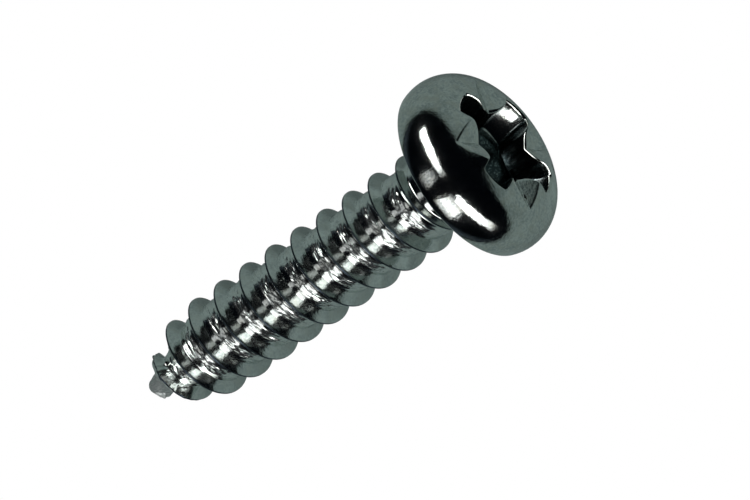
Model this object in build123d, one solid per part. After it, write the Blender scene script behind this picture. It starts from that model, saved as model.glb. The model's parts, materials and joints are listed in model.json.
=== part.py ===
from build123d import *
import math
import os

# Sheet metal screw: a pan head with a cross recess, a coarse rolled thread and a cone point.
# Sizes are in millimetres and degrees. The screw is drawn upright, with its bearing face
# at height zero, its head above and its shank below, and is laid on its side at the end.

# Head
head_diameter = 6.87
head_height = 2.45
rim_height = 0.47  # the widest circle, above the bearing face
shoulder_radius = 1.47  # rounds the rim into the dome
shoulder_limit = 0.9  # the most of the head's height or radius that the shoulder may take
seat_clearance = 0.05  # from the thread's crest out to the flat of the bearing face

# Shank
length = 15.58  # from the bearing face to the end of the point
neck_length = 0.6  # the plain stretch under the head
neck_step = 0.03  # how far it stands above the root of the thread
point_angle = 41.0  # the whole angle of the cone
nub_radius = 0.28  # the blunt end of the cone

# Thread, right-handed
thread_diameter = 3.53
thread_depth = 0.345  # from the crest to the root
pitch = 1.27
crest_width = 0.1
root_width = 0.55  # the plain band between two turns of the thread
head_flank_share = 0.44  # of the width that the two flanks take, the rest being the point's flank
crest_height_below_head = 0.92  # where the crest line passes azimuth zero, nearest the head
thread_start = 0.57  # where the thread has faded away under the head
head_run_out = 1.5  # axial length over which it fades there
thread_end_gap = 0.14  # where it has faded away, above the end of the point
point_run_out = 0.2
crest_cone_angle = 63.6  # the whole angle of the cone that the crest line follows at the point
crest_cone_overshoot = 0.53  # from the end of the point to that cone's tip
crest_bend_length = 2.1  # over which the crest line bends from the shank into its cone

# How the thread's ridge is built
steps_per_turn = 24
ridge_base = 0.92  # where its hidden base runs, as a share of the core's radius
ridge_end = 0.96  # the same for its crest, where it has faded away

# Cross recess with four wings and four marks between them
recess_azimuth = 22.0
wing_span = 4.42  # across two opposite wings at the gauge height
wing_width = 1.1
wing_end_slope = 27.0  # from the screw's axis
wing_side_draft = 3.0
recess_depth = 1.65  # from the top of the dome to the floor of the wings
gauge_depth = 0.42  # below the top of the dome, where the wing span is measured
core_diameter = 2.7  # of the round core between the wings, at the gauge height
core_draft = 10.0
pit_angle = 130.0  # the whole angle of the cone at the bottom
mark_reach = 2.6  # how far the marks run from the axis
mark_angle = 132.0  # between the two sides of a mark
cutter_rise = 0.2  # how far the cutter of the recess stands above the dome

head_radius = head_diameter / 2
crest_radius = thread_diameter / 2
root_radius = crest_radius - thread_depth
neck_radius = root_radius + neck_step
underhead_fillet = crest_radius + seat_clearance - neck_radius

# Head profile: a dome that runs tangent into the shoulder, whose arc carries on to the bearing face
shoulder_drop = head_height - rim_height
shoulder = min(shoulder_radius, shoulder_limit * shoulder_drop, shoulder_limit * head_radius)
shoulder_centre = head_radius - shoulder
dome_radius = (shoulder_centre**2 + shoulder_drop**2 - shoulder**2) / (2 * (shoulder_drop - shoulder))
dome_centre = head_height - dome_radius
dome_half_angle = math.atan2(shoulder_centre, rim_height - dome_centre)
seat_radius = shoulder_centre + math.sqrt(shoulder**2 - rim_height**2)

# Point profile: the cone runs tangent into the blunt nub
cone_half_angle = math.radians(point_angle / 2)
nub_centre = nub_radius - length
nub_edge_radius = nub_radius * math.cos(cone_half_angle)
nub_edge_height = nub_centre - nub_radius * math.sin(cone_half_angle)
cone_start = nub_edge_height + (root_radius - nub_edge_radius) / math.tan(cone_half_angle)

# Thread section: how far each flank runs along the screw for each millimetre that it rises
flank_run = (pitch - crest_width - root_width) / thread_depth
head_flank_run = flank_run * head_flank_share
point_flank_run = flank_run * (1 - head_flank_share)

# Crest line at the point: its cone, and the middle of the bend that leads into it
crest_cone_slope = math.tan(math.radians(crest_cone_angle / 2))
crest_cone_tip = -length - crest_cone_overshoot
crest_bend_middle = crest_cone_tip + crest_radius / crest_cone_slope


def on_dome(angle):
    """The point of the dome at this angle from the axis, as radius and height."""
    return dome_radius * math.sin(angle), dome_centre + dome_radius * math.cos(angle)


def dome_height(radius):
    """How high the dome stands at this distance from the axis."""
    return dome_centre + math.sqrt(dome_radius**2 - radius**2)


def arc_point(centre, radius, angle):
    """A point on a circle of the profile, with the angle in degrees from the outward direction."""
    turn = math.radians(angle)
    return centre[0] + radius * math.cos(turn), centre[1] + radius * math.sin(turn)


def blank():
    """The headed blank before its thread: dome, shoulder, bearing face, neck, shank and cone."""
    fillet_centre = (neck_radius + underhead_fillet, -underhead_fillet)
    cone_top = (root_radius, cone_start)
    nub_edge = (nub_edge_radius, nub_edge_height)
    neck_end = (neck_radius, -neck_length)
    root_start = (root_radius, -neck_length - neck_step)
    profile = [
        ThreePointArc((0, head_height), on_dome(dome_half_angle / 2), on_dome(dome_half_angle)),
        ThreePointArc(on_dome(dome_half_angle), (head_radius, rim_height), (seat_radius, 0)),
        Line((seat_radius, 0), (fillet_centre[0], 0)),
        ThreePointArc(
            (fillet_centre[0], 0),
            arc_point(fillet_centre, underhead_fillet, 135),
            (neck_radius, fillet_centre[1]),
        ),
        Line((neck_radius, fillet_centre[1]), neck_end),
        Line(neck_end, root_start),
        Line(root_start, cone_top),
        Line(cone_top, nub_edge),
        ThreePointArc(nub_edge, arc_point((0, nub_centre), nub_radius, -60), (0, -length)),
        Line((0, -length), (0, head_height)),
    ]
    return revolve(Plane.XZ * make_face(profile), Axis.Z)


def core_radius(height):
    """The radius of the bare shank, without its thread, at this height."""
    if height < nub_edge_height:
        return math.sqrt(max(0.0, nub_radius**2 - (height - nub_centre) ** 2))
    narrowing = max(0.0, cone_start - height) * math.tan(cone_half_angle)
    return root_radius - narrowing


def crest_line_radius(height):
    """The radius of the thread's crest: full on the shank, bent into a cone at the point, and
    faded into the core at both ends of the thread."""
    bend_start = crest_bend_middle + crest_bend_length / 2
    bend_end = crest_bend_middle - crest_bend_length / 2
    if height > bend_start:
        full = crest_radius
    elif height > bend_end:
        full = crest_radius - crest_cone_slope * (bend_start - height) ** 2 / (2 * crest_bend_length)
    else:
        full = (height - crest_cone_tip) * crest_cone_slope
    head_share = (-thread_start - height) / head_run_out
    point_share = (height + length - thread_end_gap) / point_run_out
    share = min(1.0, max(0.0, min(head_share, point_share)))
    hidden = ridge_end * core_radius(height)
    return hidden + share * (full - hidden)


def thread():
    """The thread as one ridge, ruled between four rails that wind round the shank. Its inner
    rails run inside the core, so the ridge joins it all the way."""
    turns = (length - thread_end_gap - thread_start) / pitch
    first_turn = (thread_start - crest_height_below_head) / pitch
    pieces = math.ceil(turns)
    steps = pieces * steps_per_turn

    def section(step):
        winding = -first_turn - turns * step / steps
        height = -crest_height_below_head + pitch * winding
        outer = crest_line_radius(height)
        inner = ridge_base * core_radius(height)
        half_crest = crest_width / 2
        lowest = -half_crest - (outer - inner) * point_flank_run
        highest = half_crest + (outer - inner) * head_flank_run
        corners = [(inner, lowest), (outer, -half_crest), (outer, half_crest), (inner, highest)]
        azimuth = 2 * math.pi * winding
        return [
            Vector(radius * math.cos(azimuth), radius * math.sin(azimuth), height + rise)
            for radius, rise in corners
        ]

    sections = [section(step) for step in range(steps + 1)]
    faces = [
        make_face(Polyline(*sections[0], close=True)),
        make_face(Polyline(*sections[-1], close=True)),
    ]
    for piece in range(pieces):
        span = sections[piece * steps_per_turn : (piece + 1) * steps_per_turn + 1]
        rails = [Spline(*[corners[rail] for corners in span]) for rail in range(4)]
        for rail in range(4):
            faces.append(Face.make_surface_from_curves(rails[rail].edge(), rails[(rail + 1) % 4].edge()))
    return Solid(Shell(faces))


def recess():
    """The cross recess: a drafted core with a conical pit, four wings and four marks."""
    top = head_height + cutter_rise
    floor = head_height - recess_depth
    gauge = head_height - gauge_depth

    def blade(height):
        span = wing_span + 2 * (height - gauge) * math.tan(math.radians(wing_end_slope))
        width = wing_width + 2 * (height - gauge) * math.tan(math.radians(wing_side_draft))
        return Pos(0, 0, height) * Rectangle(span, width)

    def core_at(height):
        return core_diameter / 2 + (height - gauge) * math.tan(math.radians(core_draft))

    pit_depth = core_at(floor) / math.tan(math.radians(pit_angle / 2))
    core_outline = Polyline(
        (0, top), (core_at(top), top), (core_at(floor), floor), (0, floor - pit_depth), close=True
    )
    cutter = revolve(Plane.XZ * make_face(core_outline), Axis.Z)
    for quarter in range(2):
        cutter += Rot(0, 0, recess_azimuth + 90 * quarter) * loft([blade(top), blade(floor)])

    mark_floor = dome_height(mark_reach)
    mark_depth = top - mark_floor
    mark_half_width = mark_depth * math.tan(math.radians(mark_angle / 2))
    mark_outline = Polyline((0, 0), (mark_half_width, mark_depth), (-mark_half_width, mark_depth), close=True)
    across = Plane(origin=(0, 0, mark_floor), x_dir=(0, 1, 0), z_dir=(1, 0, 0))
    mark = extrude(across * make_face(mark_outline), mark_reach)
    for quarter in range(4):
        cutter += Rot(0, 0, recess_azimuth + 45 + 90 * quarter) * mark
    return cutter


def resting_tilt():
    """How far the axis rises from tip to head as the screw lies on its head's rim and on the
    first crest on its underside that meets the ground."""
    angles = []
    height = -crest_height_below_head
    while height > thread_end_gap - length:
        if height < -length / 2:  # the head holds the other half off the ground
            across = shoulder_centre - crest_line_radius(height)
            along = rim_height - height
            angles.append(math.atan2(across, along) + math.asin(shoulder / math.hypot(across, along)))
        height -= pitch
    return math.degrees(min(angles))


screw = blank() + thread() - recess()
tilt = resting_tilt()
turned = Rot(0, 90 - tilt, 0) * screw
box = turned.bounding_box()
laid_down = Pos(-box.center().X, -box.center().Y, -box.min.Z) * Rot(0, 90 - tilt, 0)

os.makedirs("parts", exist_ok=True)
export_step(laid_down * screw, "parts/screw.step")
print("tilt", round(tilt, 3), "volume", round(screw.volume, 2), "solids", len(screw.solids()))
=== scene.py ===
import json
import math

import bmesh
import bpy
from mathutils import Matrix, Vector


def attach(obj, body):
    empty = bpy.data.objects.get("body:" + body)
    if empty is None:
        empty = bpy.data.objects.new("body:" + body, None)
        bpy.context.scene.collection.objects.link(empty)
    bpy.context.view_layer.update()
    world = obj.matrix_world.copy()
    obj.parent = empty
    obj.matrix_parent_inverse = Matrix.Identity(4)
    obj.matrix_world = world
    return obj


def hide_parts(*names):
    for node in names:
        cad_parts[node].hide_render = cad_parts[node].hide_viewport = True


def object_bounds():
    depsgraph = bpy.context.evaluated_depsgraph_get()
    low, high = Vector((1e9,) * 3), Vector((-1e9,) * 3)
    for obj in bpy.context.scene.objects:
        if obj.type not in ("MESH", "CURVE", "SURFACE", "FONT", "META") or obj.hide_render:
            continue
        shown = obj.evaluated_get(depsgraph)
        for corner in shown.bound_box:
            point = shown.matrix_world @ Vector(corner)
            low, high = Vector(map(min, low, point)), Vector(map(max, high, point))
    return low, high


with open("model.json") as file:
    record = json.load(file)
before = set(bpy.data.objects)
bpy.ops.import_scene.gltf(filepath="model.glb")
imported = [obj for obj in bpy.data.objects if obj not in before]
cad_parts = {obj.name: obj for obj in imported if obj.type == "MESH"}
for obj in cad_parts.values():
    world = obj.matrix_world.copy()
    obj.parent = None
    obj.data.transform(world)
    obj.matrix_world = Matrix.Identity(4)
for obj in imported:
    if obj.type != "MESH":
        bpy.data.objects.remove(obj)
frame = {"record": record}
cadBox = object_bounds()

# A sheet metal screw that lies on a pale floor. It is modelled upright in millimetres, with its
# bearing face at height zero and its head above, and is then laid where the frame has it.

millimetres = 1000  # in a metre, the frame's unit
fullTurn = 2 * math.pi
quarterTurn = math.pi / 2
tiny = 1e-6  # keeps a division from meeting zero
inset = {"head": 0.004, "crest": 0.001}  # how far the screw stays inside the solid

mounts = {mount["name"]: mount for mount in frame["record"]["mounts"]}
seat = Vector(mounts["bearing_face"]["pos_m"])
headWay = -Vector(mounts["bearing_face"]["axis"]).normalized()  # along the screw, out of its head
sideWay = Vector((0, 1, 0))
frontWay = sideWay.cross(headWay)
turned = Matrix((frontWay, sideWay, headWay)).transposed()
layDown = Matrix.Translation(seat) @ turned.to_4x4() @ Matrix.Scale(1 / millimetres, 4)

crestRadius = mounts["thread"]["dims"]["r_mm"] - inset["crest"]
recessDepth = mounts["drive_recess"]["dims"]["length_mm"]
wingReach = mounts["drive_recess"]["dims"]["r_mm"]
boxWidth = cadBox[1][1] - cadBox[0][1]  # the head is the widest part across
headRadius = boxWidth * millimetres / 2 - inset["head"]


def feed(tree, value, socket):
    # A formula or a node's output is linked into the socket, and a plain value is set on it
    if isinstance(value, Formula):
        value = value.socket
    if isinstance(value, bpy.types.NodeSocket):
        tree.links.new(value, socket)
    else:
        socket.default_value = value


def addNode(tree, kind, inputs=None, **settings):
    node = tree.nodes.new(kind)
    for name, value in settings.items():
        setattr(node, name, value)
    for place, value in (inputs or {}).items():
        feed(tree, value, node.inputs[place])
    return node


class Formula:
    # A number in a node tree, so that a rule can be written as plain arithmetic
    def __init__(self, tree, socket):
        self.tree = tree
        self.socket = socket

    def maths(self, operation, *values):
        inputs = dict(enumerate(values))
        node = addNode(self.tree, "ShaderNodeMath", inputs, operation=operation)
        return Formula(self.tree, node.outputs[0])

    def __add__(self, other):
        return self.maths("ADD", self, other)

    def __radd__(self, other):
        return self.maths("ADD", other, self)

    def __sub__(self, other):
        return self.maths("SUBTRACT", self, other)

    def __rsub__(self, other):
        return self.maths("SUBTRACT", other, self)

    def __mul__(self, other):
        return self.maths("MULTIPLY", self, other)

    def __truediv__(self, other):
        return self.maths("DIVIDE", self, other)

    def __rtruediv__(self, other):
        return self.maths("DIVIDE", other, self)

    def __pow__(self, other):
        return self.maths("POWER", self, other)

    def __neg__(self):
        return self.maths("MULTIPLY", self, -1.0)

    def __abs__(self):
        return self.maths("ABSOLUTE", self)

    def atLeast(self, other):
        return self.maths("MAXIMUM", self, other)

    def atMost(self, other):
        return self.maths("MINIMUM", self, other)

    def between(self, low, high):
        return self.atLeast(low).atMost(high)

    def above(self, other):
        # One where it is above the other, and else nothing
        return self.maths("GREATER_THAN", self, other)

    def below(self, other):
        return self.maths("LESS_THAN", self, other)

    def same(self, other):
        # One where two whole numbers are the same, and else nothing
        return self.maths("COMPARE", self, other, 0.1)

    def floor(self):
        return self.maths("FLOOR", self)

    def sine(self):
        return self.maths("SINE", self)

    def cosine(self):
        return self.maths("COSINE", self)

    def tangent(self):
        return self.maths("TANGENT", self)

    def rampUp(self, start, end):
        # From zero at the start to one at the end
        return ((self - start) / (end - start)).between(0.0, 1.0)

    def softPositive(self, softness):
        # The number where it is above zero, else nothing, with a rounded turn between
        near = (self + softness).between(0.0, softness * 2.0)
        return near * near / (softness * 4.0) + (self - softness).atLeast(0.0)


def pointAt(tree, *values):
    return addNode(tree, "ShaderNodeCombineXYZ", dict(enumerate(values))).outputs[0]


def noise(tree, where, scale, detail):
    inputs = {"Vector": where, "Scale": scale, "Detail": detail}
    return Formula(tree, addNode(tree, "ShaderNodeTexNoise", inputs).outputs[0])


def blend(tree, share, first, second):
    inputs = {"Factor": share, "A": first, "B": second}
    return addNode(tree, "ShaderNodeMix", inputs, data_type="RGBA").outputs["Result"]


# Shank and thread, with lengths in millimetres

shank = {
    "stepsPerTurn": 120,
    "rootColumns": 14,  # across one half of a turn's root
    "flankColumns": 5,
    "edgeStep": 0.006,  # from the crest's edge to the first column of the flank
    "firstTurn": -13,
    "turns": 14,
    "weldDistance": 0.0005,
    "length": 15.578,  # from the bearing face to the end of the point
    "neckRing": 0.4,  # below the bearing face, where the head takes over
    "neckLength": 0.6,
    "neckStep": 0.07,  # how far the neck stands above the root
    "neckSlope": 0.03,  # along the screw, from the neck down to the root
    "crestRadius": crestRadius,
    "threadDepth": 0.385,
    "pitch": 1.27,
    "crestWidth": 0.06,
    "crestSoftness": 0.004,
    "rootSoftness": 0.01,
    "headFlankRun": 0.577,  # along the screw for each millimetre of height
    "pointFlankRun": 0.75,
    "crestBelowHead": 0.92,  # where the crest line passes azimuth zero, nearest the head
    "coneHalfAngle": math.radians(20.5),
    "nubRadius": 0.28,
    "tipAngle": math.radians(86),  # beyond which the nub closes in one point
    "threadStart": 0.57,  # below the bearing face, where the thread has faded away
    "headRunOut": 1.5,  # over which it fades there
    "threadEndGap": 0.14,  # where it has faded away above the end of the point
    "pointRunOut": 0.2,
    "crestConeSlope": math.tan(math.radians(31.8)),
    "crestConeOvershoot": 0.53,  # from the end of the point to the tip of the crest's cone
    "crestBendLength": 2.1,  # over which the crest line bends into that cone
    "darkCrestStart": 0.08,  # height of the thread at which its crest starts to look dark
    "darkCrestFull": 0.18,
    "roughStart": 0.42,  # the rough band of the root, beyond the crest on the side of the head
    "roughEnd": 0.93,
    "roughEdge": 0.1,
    "roughTipStart": 0.5,  # above the end of the point, where the band starts to show
    "roughTipFull": 1.5,
    "roughNeckStart": 0.02,  # and below the neck's ring
    "roughNeckFull": 0.15,
    "ruckHeight": 0.11,  # of the long folds in the rough band
    "ruckWidth": 0.13,
    "ruckLength": 0.42,
    "ruckDetail": 1.0,
    "lumpHeight": 0.06,
    "lumpSize": 0.1,
    "lumpDetail": 2.0,
    "tipLumpShare": 0.4,  # of the radius, at the end of the point
    "tipLumpSize": 0.4,
    "tipLumpDetail": 1.0,
    "tipLumpStart": -13.9,  # the height below which the point is lumpy
    "tipLumpFull": -14.5,
}


def shankTree(sizes, material):
    tree = bpy.data.node_groups.new("threadedShank", "GeometryNodeTree")
    tree.is_modifier = True
    tree.interface.new_socket("head", in_out="INPUT", socket_type="NodeSocketGeometry")
    tree.interface.new_socket("screw", in_out="OUTPUT", socket_type="NodeSocketGeometry")
    for name, value in sizes.items():
        kind = "NodeSocketInt" if isinstance(value, int) else "NodeSocketFloat"
        tree.interface.new_socket(name, in_out="INPUT", socket_type=kind)
    groupIn = addNode(tree, "NodeGroupInput")
    size = {name: Formula(tree, groupIn.outputs[name]) for name in sizes}

    # A grid with a row for each step of the winding and columns across one turn of the thread
    columns = (size["rootColumns"] + size["flankColumns"] + 2.0) * 2.0
    counts = {"Vertices X": size["turns"] * size["stepsPerTurn"] + 1.0, "Vertices Y": columns + 1.0}
    grid = addNode(tree, "GeometryNodeMeshGrid", counts)
    index = Formula(tree, addNode(tree, "GeometryNodeInputIndex").outputs[0])
    row = ((index + 0.5) / (columns + 1.0)).floor()
    column = index - row * (columns + 1.0) - columns / 2.0  # zero in the middle of the crest

    # Across the turn: from the middle of the root below the crest to the middle of the root above
    halfCrest = size["crestWidth"] / 2.0
    headFlank = size["headFlankRun"] * size["threadDepth"]
    pointFlank = size["pointFlankRun"] * size["threadDepth"]
    flanks = (size["headFlankRun"] + size["pointFlankRun"]) * size["threadDepth"]
    halfRoot = (size["pitch"] - size["crestWidth"] - flanks) / 2.0
    headReach = halfCrest + headFlank + halfRoot
    pointReach = size["pitch"] - headReach

    def spread(steps, reach, flank):
        # The crest's half, its edge, the flank and the root, each with its own columns
        onCrest = steps.between(0.0, 1.0) * halfCrest
        onEdge = (steps - 1.0).between(0.0, 1.0) * size["edgeStep"]
        onFlank = (steps - 2.0).between(0.0, size["flankColumns"]) / size["flankColumns"]
        onRoot = (steps - 2.0 - size["flankColumns"]).atLeast(0.0) / size["rootColumns"]
        flankWidth = flank - size["edgeStep"]
        rootWidth = reach - halfCrest - flank
        return onCrest + onEdge + onFlank * flankWidth + onRoot * rootWidth

    across = spread(column, headReach, headFlank) - spread(-column, pointReach, pointFlank)
    turn = size["firstTurn"] + row / size["stepsPerTurn"]
    azimuth = turn * fullTurn
    crestHeight = turn * size["pitch"] - size["crestBelowHead"]
    height = (crestHeight + across).atMost(-size["neckRing"])

    # The bare core: neck, root, cone, and the blunt nub, round whose arc the surface is wound
    rootRadius = size["crestRadius"] - size["threadDepth"]
    coneSlope = size["coneHalfAngle"].tangent()
    nubCentre = size["nubRadius"] - size["length"]
    nubEdge = nubCentre - size["nubRadius"] * size["coneHalfAngle"].sine()
    nubEdgeRadius = size["nubRadius"] * size["coneHalfAngle"].cosine()
    coneStart = nubEdge + (rootRadius - nubEdgeRadius) / coneSlope

    def coreAt(place):
        neckEnd = -size["neckLength"]
        neck = place.rampUp(neckEnd - size["neckSlope"], neckEnd) * size["neckStep"]
        return rootRadius + neck - (coneStart - place.atLeast(nubEdge)).atLeast(0.0) * coneSlope

    past = (nubEdge - height).atLeast(0.0)
    nubAngle = (size["coneHalfAngle"] + past / size["nubRadius"]).atMost(quarterTurn)
    nubAngle = nubAngle + nubAngle.above(size["tipAngle"]) * (quarterTurn - nubAngle)
    nubShare = nubAngle.cosine() * size["nubRadius"] / nubEdgeRadius
    core = coreAt(height)
    closedCore = core - nubEdgeRadius * (1.0 - nubShare)
    nubHeight = nubCentre - size["nubRadius"] * nubAngle.sine()
    finalHeight = height.atLeast(nubEdge) + nubHeight - nubEdge

    # The thread's ridge, from this turn and from the ones above and below it
    coneTip = -size["length"] - size["crestConeOvershoot"]
    bendMiddle = coneTip + size["crestRadius"] / size["crestConeSlope"]
    bendStart = bendMiddle + size["crestBendLength"] / 2.0
    bendEnd = bendMiddle - size["crestBendLength"] / 2.0

    def ridge(turnsUp):
        crest = crestHeight + size["pitch"] * turnsUp
        bend = (bendStart - crest).between(0.0, size["crestBendLength"])
        fall = bend * bend / (size["crestBendLength"] * 2.0) + (bendEnd - crest).atLeast(0.0)
        full = size["crestRadius"] - size["crestConeSlope"] * fall
        headShare = (-size["threadStart"] - crest) / size["headRunOut"]
        pointShare = (crest + size["length"] - size["threadEndGap"]) / size["pointRunOut"]
        shown = headShare.atMost(pointShare).between(0.0, 1.0)
        hidden = coreAt(crest) - size["rootSoftness"]
        away = across - size["pitch"] * turnsUp
        softness = size["crestSoftness"]
        headDrop = (away - halfCrest).softPositive(softness) / size["headFlankRun"]
        pointDrop = (-away - halfCrest).softPositive(softness) / size["pointFlankRun"]
        above = hidden + shown * (full - hidden) - headDrop - pointDrop - core
        return above.softPositive(size["rootSoftness"])

    rise = ridge(-1.0) + ridge(0.0) + ridge(1.0)

    # What the rolling left in the root: a lumpy band with rucks that run along the thread. Below
    # the crest it is the band of the turn below, so that the two edges of a turn meet.
    belowCrest = across.below(0.0)
    beyond = across + belowCrest * size["pitch"]
    band = beyond.rampUp(size["roughStart"], size["roughStart"] + size["roughEdge"])
    band = band - beyond.rampUp(size["roughEnd"] - size["roughEdge"], size["roughEnd"])
    tip = -size["length"]
    ring = -size["neckRing"]
    shown = height.rampUp(tip + size["roughTipStart"], tip + size["roughTipFull"])
    shown = shown * height.rampUp(ring - size["roughNeckStart"], ring - size["roughNeckFull"])
    onRoot = pointAt(tree, azimuth.cosine() * rootRadius, azimuth.sine() * rootRadius, height)
    wayRound = (azimuth - belowCrest * fullTurn) * rootRadius
    unrolled = pointAt(tree, beyond / size["ruckWidth"], wayRound / size["ruckLength"])

    def bumps(where, scale, detail):
        return noise(tree, where, scale, detail) - 0.5

    lumps = bumps(onRoot, 1.0 / size["lumpSize"], size["lumpDetail"]) * size["lumpHeight"]
    rucks = bumps(unrolled, 1.0, size["ruckDetail"]) * size["ruckHeight"]
    marks = band * (lumps + rucks) * shown
    nearTip = 1.0 - height.rampUp(size["tipLumpFull"], size["tipLumpStart"])
    tipLumps = bumps(onRoot, 1.0 / size["tipLumpSize"], size["tipLumpDetail"])
    tipLumps = tipLumps * size["tipLumpShare"] * nearTip
    radius = (closedCore + (rise + marks) * nubShare) * (tipLumps + 1.0)

    # What the plate has to know of each place
    edgeColumn = 1.0
    footColumn = size["flankColumns"] + 2.0
    crestShown = rise.rampUp(size["darkCrestStart"], size["darkCrestFull"])
    marked = {
        "roughBand": band * shown,
        "crispEdge": abs(column).same(edgeColumn),
        "crispFoot": abs(column).same(footColumn),
        "crestTop": abs(column).below(edgeColumn + 0.5) * crestShown,
        "thread": 1.0,
    }
    made = grid.outputs["Mesh"]
    for name, value in marked.items():
        inputs = {"Geometry": made, "Name": name, "Value": value}
        kind = "GeometryNodeStoreNamedAttribute"
        made = addNode(tree, kind, inputs, data_type="FLOAT", domain="POINT").outputs[0]

    # Wind the grid round the shank, weld the head on, and keep the thread's edges crisp
    wound = pointAt(tree, azimuth.cosine() * radius, azimuth.sine() * radius, finalHeight)
    windUp = addNode(tree, "GeometryNodeSetPosition", {"Geometry": made, "Position": wound})
    join = addNode(tree, "GeometryNodeJoinGeometry", {0: windUp.outputs[0]})
    feed(tree, groupIn.outputs["head"], join.inputs[0])
    inputs = {"Geometry": join.outputs[0], "Distance": size["weldDistance"]}
    weld = addNode(tree, "GeometryNodeMergeByDistance", inputs)
    made = addNode(tree, "GeometryNodeSetShadeSmooth", {"Geometry": weld.outputs[0]}).outputs[0]
    for name in ("crispEdge", "crispFoot"):
        kind = "GeometryNodeInputNamedAttribute"
        named = addNode(tree, kind, {"Name": name}, data_type="FLOAT").outputs[0]
        atEdge = Formula(tree, named).above(0.9)  # both ends of an edge are on the line
        inputs = {"Geometry": made, "Selection": atEdge, "Shade Smooth": False}
        made = addNode(tree, "GeometryNodeSetShadeSmooth", inputs, domain="EDGE").outputs[0]
    made = addNode(tree, "GeometryNodeRealizeInstances", {0: made}).outputs[0]
    inputs = {"Geometry": made, "Material": material}
    made = addNode(tree, "GeometryNodeSetMaterial", inputs).outputs[0]
    addNode(tree, "NodeGroupOutput", {"screw": made})
    return tree


# Head and recess, with lengths in millimetres

head = {
    "height": 2.45,
    "radius": headRadius,
    "rimHeight": 0.47,  # of the widest circle, above the bearing face
    "shoulderRadius": 1.47,
    "seatClearance": 0.05,  # from the thread's crest out to the flat of the bearing face
    "filletSteps": 8,
    "seatRings": 5,
    "shoulderRings": 22,
    "shoulderCrowding": 1.3,  # above one, the shoulder's rings crowd toward the bearing face
    "domeRings": 24,
    "finer": 3,  # columns of the dome for each column of the shank
    "leastEdge": 1e-5,  # anything shorter is closed up
}

recess = {
    "depth": recessDepth,
    "azimuth": math.radians(22),
    "wingReach": wingReach,
    "gaugeDepth": 0.42,  # below the top of the dome, where the wings and the core are measured
    "wingWidth": 1.1,
    "wingEndSlope": math.radians(27),
    "wingEndFlatness": -0.6,  # at one the wings end flat, and below that they end hollow
    "wingSideDraft": math.radians(3),
    "wallHollow": 0.085,
    "coreRadius": 1.35,
    "coreDraft": math.radians(10),
    "pitAngle": math.radians(65),
    "markReach": 2.6,  # of the four marks between the wings, from the axis
    "markSlope": math.tan(math.radians(66)),
    "markSoftness": 0.06,
    "cornerSoftness": 0.16,  # of a wing's own corners
    "coreSoftness": 0.5,  # of the corners between the wings and the core
    "wingLipRadius": 0.12,  # of the rounded lip at the wings' ends
    "landLipRadius": 0.11,  # and between the wings
    "lipRings": 5,
    "lipGuesses": 30,
    "wallRings": 13,
    "floorRings": 3,
    "pitRings": 6,
    "wallStamp": 0.99,  # how much painted shade the walls of the recess have
    "wingEndStamp": 0.25,  # and of that at the wings' ends
    "wingEndWidth": 0.16,  # of those ends, in radians from the middle of a wing
    "wingEndFade": 0.1,
}

# Small dents in the dome
nicks = {
    "limbNick": {"azimuth": math.radians(322), "radius": 2.62, "width": 0.13, "depth": 0.17},
    "markEndNick": {"azimuth": math.radians(244), "radius": 2.08, "width": 0.1, "depth": 0.07},
}


def softLeast(first, second, softness):
    # The smaller of two numbers, with a rounded turn between them
    near = max(0.0, softness - abs(first - second)) / softness
    return min(first, second) - near * near * softness / 4


def softMost(first, second, softness):
    return -softLeast(-first, -second, softness)


def recessReach(azimuth, height, sizes, gauge):
    # How far the recess reaches from the axis, that way and at that height
    drop = height - gauge
    reach = sizes["wingReach"] + drop * math.tan(sizes["wingEndSlope"])
    halfWidth = sizes["wingWidth"] / 2 + drop * math.tan(sizes["wingSideDraft"])
    outline = sizes["coreRadius"] + drop * math.tan(sizes["coreDraft"])
    for quarter in range(2):
        angle = azimuth - sizes["azimuth"] - quarter * quarterTurn
        endway = reach / max(abs(math.cos(angle)), tiny) ** sizes["wingEndFlatness"]
        sideways = halfWidth / max(abs(math.sin(angle)), tiny)
        wing = softLeast(endway, sideways, sizes["cornerSoftness"])
        outline = softMost(outline, wing, sizes["coreSoftness"])
    return outline


def everywhere(value):
    # The same value all round
    return lambda azimuth: value


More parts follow.
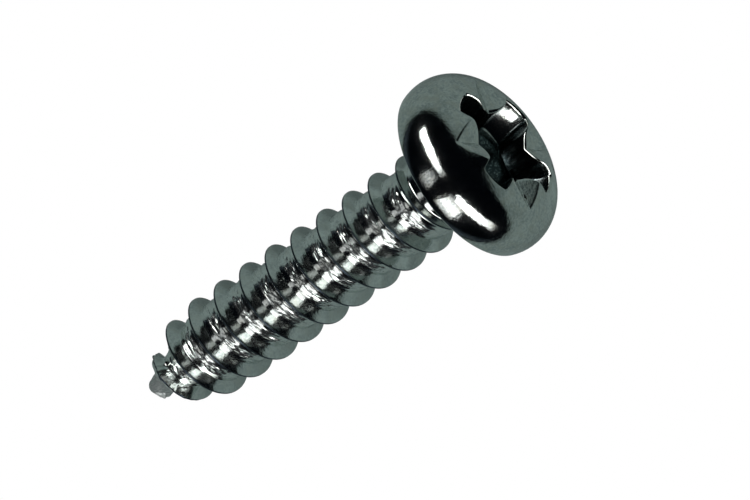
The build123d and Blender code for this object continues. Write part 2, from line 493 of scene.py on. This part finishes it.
def headMesh(sizes, cut, shankSizes):
    coarse = shankSizes["stepsPerTurn"]
    fine = coarse * sizes["finer"]
    neckRadius = shankSizes["crestRadius"] - shankSizes["threadDepth"] + shankSizes["neckStep"]
    fillet = shankSizes["crestRadius"] + sizes["seatClearance"] - neckRadius
    shoulder = sizes["shoulderRadius"]
    shoulderCentre = sizes["radius"] - shoulder
    shoulderDrop = sizes["height"] - sizes["rimHeight"]
    reachSquared = shoulderCentre**2 + shoulderDrop**2 - shoulder**2
    domeRadius = reachSquared / (2 * (shoulderDrop - shoulder))
    domeCentre = sizes["height"] - domeRadius
    domeHalfAngle = math.atan2(shoulderCentre, sizes["rimHeight"] - domeCentre)
    domeEdge = domeRadius * math.sin(domeHalfAngle)
    seatAngle = -math.asin(sizes["rimHeight"] / shoulder)
    seatRadius = shoulderCentre + shoulder * math.cos(seatAngle)
    markFloor = domeCentre + math.sqrt(domeRadius**2 - cut["markReach"] ** 2)
    gauge = sizes["height"] - cut["gaugeDepth"]
    floor = sizes["height"] - cut["depth"]
    coreFoot = cut["coreRadius"] + (floor - gauge) * math.tan(cut["coreDraft"])

    mesh = bmesh.new()
    stamped = mesh.verts.layers.float.new("stamped")

    def ring(count, placeAt, shadeAt=everywhere(0.0)):
        made = []
        for step in range(count):
            azimuth = fullTurn * step / count
            radius, height = placeAt(azimuth)
            spot = (radius * math.cos(azimuth), radius * math.sin(azimuth), height)
            made.append(mesh.verts.new(spot))
            made[-1][stamped] = shadeAt(azimuth)
        return made

    def bridge(inner, outer):
        # Faces between two rings, of which the outer may have several columns for each inner one
        ratio = len(outer) // len(inner)
        middle = ratio // 2
        for step in range(len(inner)):
            nextStep = (step + 1) % len(inner)
            side = [outer[(step * ratio + extra) % len(outer)] for extra in range(ratio + 1)]
            for extra in range(middle):
                mesh.faces.new((inner[step], side[extra + 1], side[extra]))
            mesh.faces.new((inner[step], inner[nextStep], side[middle + 1], side[middle]))
            for extra in range(middle + 1, ratio):
                mesh.faces.new((inner[nextStep], side[extra + 1], side[extra]))

    # Round the neck, out along the bearing face, and over the rim to the edge of the dome
    rings = [ring(coarse, everywhere((neckRadius, -shankSizes["neckRing"])))]
    for step in range(sizes["filletSteps"] + 1):
        angle = math.pi - quarterTurn * step / sizes["filletSteps"]
        radius = neckRadius + fillet + fillet * math.cos(angle)
        rings.append(ring(coarse, everywhere((radius, fillet * math.sin(angle) - fillet))))
    for step in range(1, sizes["seatRings"] + 1):
        share = 1 - (1 - step / sizes["seatRings"]) ** 2
        radius = neckRadius + fillet + (seatRadius - neckRadius - fillet) * share
        rings.append(ring(coarse, everywhere((radius, 0))))
    endAngle = quarterTurn - domeHalfAngle
    for step in range(1, sizes["shoulderRings"] + 1):
        share = (step / sizes["shoulderRings"]) ** sizes["shoulderCrowding"]
        angle = seatAngle + (endAngle - seatAngle) * share
        radius = shoulderCentre + shoulder * math.cos(angle)
        height = sizes["rimHeight"] + shoulder * math.sin(angle)
        rings.append(ring(coarse, everywhere((radius, height))))

    # The dome with its four marks, in to the lip of the recess
    def topHeight(radius, azimuth):
        height = domeCentre + math.sqrt(max(0.0, domeRadius**2 - radius**2))
        for quarter in range(4):
            angle = azimuth - cut["azimuth"] - quarterTurn / 2 - quarter * quarterTurn
            if math.cos(angle) > 0:
                groove = markFloor + abs(radius * math.sin(angle)) / cut["markSlope"]
                height = softLeast(height, groove, cut["markSoftness"])
        for nick in nicks.values():
            aside = radius * (azimuth - nick["azimuth"])
            away = ((radius - nick["radius"]) ** 2 + aside**2) / nick["width"] ** 2
            height -= nick["depth"] * math.exp(-away)
        return height

    def lipRadiusAt(azimuth):
        # How round the lip is, from the wings' ends to the lands between them
        land = 0.5 - 0.5 * math.cos(4 * (azimuth - cut["azimuth"]))
        return cut["wingLipRadius"] + (cut["landLipRadius"] - cut["wingLipRadius"]) * land

    # Where the walls would meet the dome, found by guessing again from each last height
    lipReach = {}
    for step in range(fine):
        azimuth = fullTurn * step / fine
        reach = cut["wingReach"]
        for guess in range(cut["lipGuesses"]):
            reach = recessReach(azimuth, topHeight(reach, azimuth), cut, gauge)
        lipReach[azimuth] = reach

    def onTop(share):
        def placeAt(azimuth):
            inner = lipReach[azimuth] + lipRadiusAt(azimuth)
            radius = domeEdge + (inner - domeEdge) * share
            return radius, topHeight(radius, azimuth)

        return placeAt

    for step in range(1, sizes["domeRings"] + 1):
        rings.append(ring(fine, onTop(step / sizes["domeRings"])))

    # The lip, the walls, the floor of the wings and the pit
    def onLip(share):
        def placeAt(azimuth):
            bend = lipRadiusAt(azimuth)
            outer = lipReach[azimuth] + bend
            drop = bend * (1 - math.cos(quarterTurn * share))
            return outer - bend * math.sin(quarterTurn * share), topHeight(outer, azimuth) - drop

        return placeAt

    def onWall(share):
        def placeAt(azimuth):
            bend = lipRadiusAt(azimuth)
            top = topHeight(lipReach[azimuth] + bend, azimuth) - bend
            height = top + (floor - top) * share
            offset = lipReach[azimuth] - recessReach(azimuth, top, cut, gauge)
            hollow = cut["wallHollow"] * 4 * share * (1 - share)
            reach = recessReach(azimuth, height, cut, gauge)
            return reach + offset * (1 - share) + hollow, height

        return placeAt

    def onFloor(share):
        def placeAt(azimuth):
            outer = recessReach(azimuth, floor, cut, gauge)
            return outer + (min(outer, coreFoot) - outer) * share, floor

        return placeAt

    def onPit(share):
        def placeAt(azimuth):
            radius = min(coreFoot, recessReach(azimuth, floor, cut, gauge)) * (1 - share)
            return radius, floor - (coreFoot - radius) / math.tan(cut["pitAngle"])

        return placeAt

    def wallStamp(azimuth):
        # The wings' ends get less painted shade than the rest of the recess, so their highlights
        # stay
        wing = (azimuth - cut["azimuth"] + quarterTurn / 2) % quarterTurn
        away = abs(wing - quarterTurn / 2)
        share = (away - cut["wingEndWidth"]) / cut["wingEndFade"]
        return cut["wallStamp"] * min(1.0, max(cut["wingEndStamp"], share))

    for step in range(1, cut["lipRings"] + 1):
        rings.append(ring(fine, onLip(step / cut["lipRings"])))
    for step in range(1, cut["wallRings"] + 1):
        # The walls, floor and pit carry the recess's painted shade
        rings.append(ring(fine, onWall(step / cut["wallRings"]), wallStamp))
    for step in range(1, cut["floorRings"] + 1):
        rings.append(ring(fine, onFloor(step / cut["floorRings"]), everywhere(1.0)))
    for step in range(1, cut["pitRings"]):
        rings.append(ring(fine, onPit(step / cut["pitRings"]), everywhere(1.0)))
    for inner, outer in zip(rings, rings[1:]):
        bridge(inner, outer)
    bottom = mesh.verts.new((0, 0, floor - coreFoot / math.tan(cut["pitAngle"])))
    bottom[stamped] = 1.0
    last = rings[-1]
    for step in range(fine):
        mesh.faces.new((last[step], last[(step + 1) % fine], bottom))
    bmesh.ops.dissolve_degenerate(mesh, dist=sizes["leastEdge"], edges=mesh.edges)
    data = bpy.data.meshes.new("screwHead")
    mesh.to_mesh(data)
    mesh.free()
    return data


# Zinc plate. A size and a depth are in millimetres, and a ramp says between which values of its
# pattern one colour turns into the other.

zinc = {
    "colour": (0.6, 0.635, 0.61, 1),
    "roughness": 0.1,
    "roughnessSpread": 0.08,
    "mottleSize": 0.5,
    "mottleDetail": 4.0,
    "mottleShare": 0.4,  # of the broad mottling in the dark patches, the rest being the grain
    "grainSize": 0.09,
    "grainDetail": 3.0,
    "grainDepth": 0.003,
    "dentSize": 0.45,
    "dentDetail": 2.0,
    "dentDepth": 0.007,
    "darkColour": (0.38, 0.41, 0.4, 1),
    "darkRamp": (0.4, 0.58),
    "warmColour": (0.5, 0.51, 0.46, 1),
    "warmSize": 0.33,
    "warmDetail": 3.0,
    "warmRamp": (0.45, 0.75),
    # painted light: the thread's plate is lifted toward this paler colour, against the shade in its
    # grooves
    "threadColour": (0.9, 0.95, 0.94, 1),
    "threadShare": 0.27,
    "threadRoughness": 0.02,  # this and the other parts' roughness add to the plain one
    "roughBandRoughness": 0.1,
    "crestColour": (0.05, 0.065, 0.08, 1),
    "crestRoughness": 0.2,
    # painted shade: the recess is painted near black, with paler streaks down its walls
    "recessColour": (0.03, 0.045, 0.048, 1),
    "recessRoughness": 0.12,
    "streakColour": (0.25, 0.31, 0.31, 1),  # down the walls of the recess
    "streakSize": 0.07,
    "streakStretch": 0.15,
    "streakDetail": 3.0,
    "streakRamp": (0.52, 0.75),
    "tipColour": (0.46, 0.49, 0.48, 1),
    "tipRoughness": 0.45,
    "tipRamp": (0.78, 1.3),  # the dull tip, in millimetres from its end
}


def zincMaterial(look):
    material = bpy.data.materials.new("zincPlate")
    material.use_nodes = True
    tree = material.node_tree
    coordinates = addNode(tree, "ShaderNodeTexCoord").outputs["Object"]
    upright = {
        "Vector": coordinates,
        "Location": seat,
        "Rotation": turned.to_euler(),
        "Scale": (1 / millimetres,) * 3,
    }
    place = addNode(tree, "ShaderNodeMapping", upright, vector_type="TEXTURE").outputs["Vector"]
    stretch = {0: place, 1: (1, 1, look["streakStretch"])}
    stretched = addNode(tree, "ShaderNodeVectorMath", stretch, operation="MULTIPLY").outputs[0]
    height = Formula(tree, addNode(tree, "ShaderNodeSeparateXYZ", {0: place}).outputs[2])

    def pattern(name, where=place):
        return noise(tree, where, 1 / look[name + "Size"], look[name + "Detail"])

    def marked(name):
        attribute = addNode(tree, "ShaderNodeAttribute", attribute_name=name)
        return Formula(tree, attribute.outputs["Fac"])

    mottle = pattern("mottle")
    grain = pattern("grain")
    onCrest = marked("crestTop")
    onThread = marked("thread")
    recessShadeMask = marked("stamped")
    atTip = 1.0 - (height + shank["length"]).rampUp(*look["tipRamp"])

    patches = mottle * look["mottleShare"] + grain * (1 - look["mottleShare"])
    colour = blend(tree, patches.rampUp(*look["darkRamp"]), look["darkColour"], look["colour"])
    warmth = pattern("warm").rampUp(*look["warmRamp"])
    colour = blend(tree, warmth, colour, look["warmColour"])
    # Painted light on the thread, against the shade in its grooves
    colour = blend(tree, onThread * look["threadShare"], colour, look["threadColour"])
    streaks = pattern("streak", stretched).rampUp(*look["streakRamp"])
    recessColour = blend(tree, streaks, look["recessColour"], look["streakColour"])
    # Painted shade in the recess, with less of it at the wings' ends
    colour = blend(tree, recessShadeMask, colour, recessColour)
    colour = blend(tree, onCrest, colour, look["crestColour"])
    colour = blend(tree, atTip, colour, look["tipColour"])

    roughness = look["roughness"] + (mottle - 0.5) * look["roughnessSpread"]
    roughness = roughness + onThread * look["threadRoughness"] + onCrest * look["crestRoughness"]
    roughness = roughness + recessShadeMask * look["recessRoughness"]
    roughness = roughness + marked("roughBand") * look["roughBandRoughness"]
    roughness = roughness + atTip * look["tipRoughness"]

    relief = grain * look["grainDepth"] + pattern("dent") * look["dentDepth"]
    inputs = {"Strength": 1.0, "Distance": 1 / millimetres, "Height": relief}
    bump = addNode(tree, "ShaderNodeBump", inputs)
    shader = tree.nodes["Principled BSDF"]
    shader.inputs["Metallic"].default_value = 1.0
    feed(tree, colour, shader.inputs["Base Color"])
    feed(tree, roughness, shader.inputs["Roughness"])
    feed(tree, bump.outputs["Normal"], shader.inputs["Normal"])
    return material


def makeScrew():
    plate = zincMaterial(zinc)
    print("zinc plate made")
    screw = bpy.data.objects.new("sheet_metal_screw", headMesh(head, recess, shank))
    bpy.context.collection.objects.link(screw)
    print("head and recess made")
    tree = shankTree(shank, plate)
    winding = screw.modifiers.new("threadedShank", "NODES")
    winding.node_group = tree
    for item in tree.interface.items_tree:
        if item.in_out == "INPUT" and item.name in shank:
            winding[item.identifier] = shank[item.name]
    screw.update_tag()
    solved = screw.evaluated_get(bpy.context.evaluated_depsgraph_get())
    wound = bpy.data.meshes.new_from_object(solved)
    screw.modifiers.remove(winding)
    screw.data = wound
    wound.name = "sheetMetalScrew"
    wound.transform(layDown)
    wound.update()
    check = bmesh.new()
    check.from_mesh(wound)
    loose = sum(1 for edge in check.edges if not edge.is_manifold)
    check.free()
    counts = f"{len(wound.vertices)} points, {len(wound.polygons)} faces, {loose} open edges"
    print("shank and thread made, screw:", counts)
    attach(screw, "root")
    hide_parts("screw")


makeScrew()

# Floor, room, lights and camera, with distances in metres

studio = {
    "floorWidth": 3.0,
    "floorColour": (0.253, 0.316, 0.306, 1),  # as the screw mirrors it
    "floorRoughness": 0.9,
    "paperColour": (1, 1, 1, 1),  # as the camera sees it
    "roomColour": (0.0012, 0.0018, 0.003, 1),
    "shadeStart": 0.0165,  # painted shadow: the mirrored floor falls dark from here on, beyond the head
    "shadeFull": 0.0225,
    "shadeSpread": (0.09, 0.24),  # and to the sides of that, for each metre of distance
    "shadeSource": 0.004,  # from here, measured back from the end of the head
    "shadeLeast": 0.001,
    "fade": (0.025, 0.16),  # over which a painted falloff darkens it all round
    "backColour": (0.07, 0.09, 0.11, 1),  # of the room low behind the screw's point
    "backRamp": (-0.05, -0.35),  # as the cosine of the angle from the way to the camera
    "lightDistance": 0.35,
}

# Where the photograph was taken from, as the way from the screw to the camera
view = {
    "axisAngle": math.radians(59.4),  # between the screw's axis and the way to the camera
    "roll": math.radians(34.73),  # of the screw in the picture
    "scale": 28.9,  # pixels for each millimetre of the screw
    "seatPixel": (465.9, 171.6),  # where the middle of the bearing face shows
    "lens": 600.0,
    "pictureWidth": 750,
    "pictureHeight": 500,
    "sensorWidth": 36.0,
    "clip": (0.01, 10),
}

towardCamera = math.sin(view["axisAngle"]) * -frontWay + math.cos(view["axisAngle"]) * headWay
alongPicture = (headWay - math.cos(view["axisAngle"]) * towardCamera).normalized()
acrossPicture = -sideWay
rollCosine = math.cos(view["roll"])
rollSine = math.sin(view["roll"])
pictureRight = rollCosine * alongPicture + rollSine * acrossPicture
pictureUp = rollSine * alongPicture - rollCosine * acrossPicture

# Each light runs between two points, in degrees from the way to the camera: toward the head, and
# across the screw. It fades toward the tip over one share of its width, and toward the head over
# the other.
lights = {
    "upperStrip": {
        "start": (-4, -70), "end": (-13, -10), "width": 16, "brightness": 8.0, "fades": (0.65, 0.05)
    },
    "lowerStrip": {
        "start": (-18, 18), "end": (3, 74), "width": 18, "brightness": 8.0, "fades": (0.7, 0.05)
    },
    "lowerPatch": {
        "start": (-78, 22), "end": (-20, 22), "width": 24, "brightness": 3.0, "fades": (0.5, 0.5)
    },
    "upperPatch": {
        "start": (-78, -18), "end": (-24, -18), "width": 13, "brightness": 0.8, "fades": (0.4, 0.4)
    },
}


def wayAt(towardHead, across):
    angle = math.radians(math.hypot(towardHead, across))
    aside = (towardHead * alongPicture + across * acrossPicture).normalized()
    return math.cos(angle) * towardCamera + math.sin(angle) * aside


def paleToCamera(tree, mirrored, pale, output):
    # The camera sees pale paper, where the screw mirrors a darker floor and room
    rays = addNode(tree, "ShaderNodeLightPath").outputs["Is Camera Ray"]
    choose = addNode(tree, "ShaderNodeMixShader", {0: rays, 1: mirrored, 2: pale})
    feed(tree, choose.outputs[0], output.inputs["Surface"])


def makeFloor(look):
    data = bpy.data.meshes.new("paleFloor")
    half = look["floorWidth"] / 2
    corners = [(-half, -half, 0), (half, -half, 0), (half, half, 0), (-half, half, 0)]
    data.from_pydata(corners, [], [(0, 1, 2, 3)])
    floor = bpy.data.objects.new("paleFloor", data)
    bpy.context.collection.objects.link(floor)
    material = bpy.data.materials.new("palePaper")
    material.use_nodes = True
    tree = material.node_tree
    coordinates = addNode(tree, "ShaderNodeTexCoord").outputs["Object"]
    place = addNode(tree, "ShaderNodeSeparateXYZ", {0: coordinates})
    beyond = Formula(tree, place.outputs[0])
    side = Formula(tree, place.outputs[1])
    # Painted shadow beyond the head and painted falloff with distance, in the floor as the screw
    # mirrors it
    reach = (beyond - cadBox[1][0] + look["shadeSource"]).atLeast(look["shadeLeast"])
    aside = (abs(side) / reach).rampUp(*look["shadeSpread"])
    shade = beyond.rampUp(look["shadeStart"], look["shadeFull"]) * (1.0 - aside)
    away = (beyond * beyond + side * side) ** 0.5
    shade = shade.atLeast(away.rampUp(*look["fade"]))
    shader = tree.nodes["Principled BSDF"]
    shader.inputs["Roughness"].default_value = look["floorRoughness"]
    shader.inputs["Specular IOR Level"].default_value = 0.0
    colour = blend(tree, shade, look["floorColour"], look["roomColour"])
    feed(tree, colour, shader.inputs["Base Color"])
    paper = addNode(tree, "ShaderNodeEmission", {"Color": look["paperColour"]})
    paleToCamera(tree, shader.outputs[0], paper.outputs[0], tree.nodes["Material Output"])
    data.materials.append(material)


def makeLight(name, look):
    start = wayAt(*look["start"]) * studio["lightDistance"]
    end = wayAt(*look["end"]) * studio["lightDistance"]
    middle = (start + end) / 2
    out = middle.normalized()
    lengthway = (end - start).normalized()
    lengthway = (lengthway - lengthway.dot(out) * out).normalized()
    headward = lengthway.cross(out)
    if headward.dot(alongPicture) < 0:
        headward = -headward
        lengthway = -lengthway
    data = bpy.data.lights.new(name, "AREA")
    data.shape = "RECTANGLE"
    data.size = 2 * middle.length * math.tan(math.radians(look["width"] / 2))
    data.size_y = (end - start).length
    data.energy = look["brightness"] * math.pi * data.size * data.size_y
    data.use_nodes = True
    tree = data.node_tree
    spot = addNode(tree, "ShaderNodeNewGeometry").outputs["Parametric"]
    place = addNode(tree, "ShaderNodeSeparateXYZ", {0: spot})
    towardHead = Formula(tree, place.outputs[1])
    onTip, onHead = look["fades"]
    shown = towardHead.rampUp(0.0, onTip) * (1.0 - towardHead.rampUp(1.0 - onHead, 1.0))
    feed(tree, shown, tree.nodes["Emission"].inputs["Strength"])
    lamp = bpy.data.objects.new(name, data)
    bpy.context.collection.objects.link(lamp)
    facing = Matrix((headward, lengthway, headward.cross(lengthway))).transposed()
    lamp.matrix_world = Matrix.Translation(seat + middle) @ facing.to_4x4()
    lamp.visible_camera = False


def makeCamera(look):
    data = bpy.data.cameras.new("pictureCamera")
    data.lens = look["lens"]
    data.sensor_width = look["sensorWidth"]
    data.clip_start, data.clip_end = look["clip"]
    camera = bpy.data.objects.new("pictureCamera", data)
    bpy.context.collection.objects.link(camera)
    pixelsPerUnit = look["pictureWidth"] / look["sensorWidth"] * look["lens"]
    distance = pixelsPerUnit / look["scale"] / millimetres
    right = (look["pictureWidth"] / 2 - look["seatPixel"][0]) / look["scale"] / millimetres
    up = (look["seatPixel"][1] - look["pictureHeight"] / 2) / look["scale"] / millimetres
    spot = seat + towardCamera * distance + pictureRight * right + pictureUp * up
    facing = Matrix((pictureRight, pictureUp, towardCamera)).transposed().to_4x4()
    camera.matrix_world = Matrix.Translation(spot) @ facing
    bpy.context.scene.camera = camera


def makeRoom(look):
    world = bpy.data.worlds.new("darkRoom")
    world.use_nodes = True
    tree = world.node_tree
    way = addNode(tree, "ShaderNodeTexCoord").outputs["Generated"]
    inputs = {0: way, 1: towardCamera}
    product = addNode(tree, "ShaderNodeVectorMath", inputs, operation="DOT_PRODUCT")
    behind = Formula(tree, product.outputs["Value"]).rampUp(*look["backRamp"])
    room = tree.nodes["Background"]
    colour = blend(tree, behind, look["roomColour"], look["backColour"])
    feed(tree, colour, room.inputs["Color"])
    paper = addNode(tree, "ShaderNodeBackground", {"Color": look["paperColour"]})
    paleToCamera(tree, room.outputs[0], paper.outputs[0], tree.nodes["World Output"])
    bpy.context.scene.world = world


makeFloor(studio)
makeRoom(studio)
print("floor and room made")
for name, look in lights.items():
    makeLight(name, look)
print("lights made:", len(lights))
makeCamera(view)
bpy.context.scene.view_settings.view_transform = "Standard"
print("camera placed")
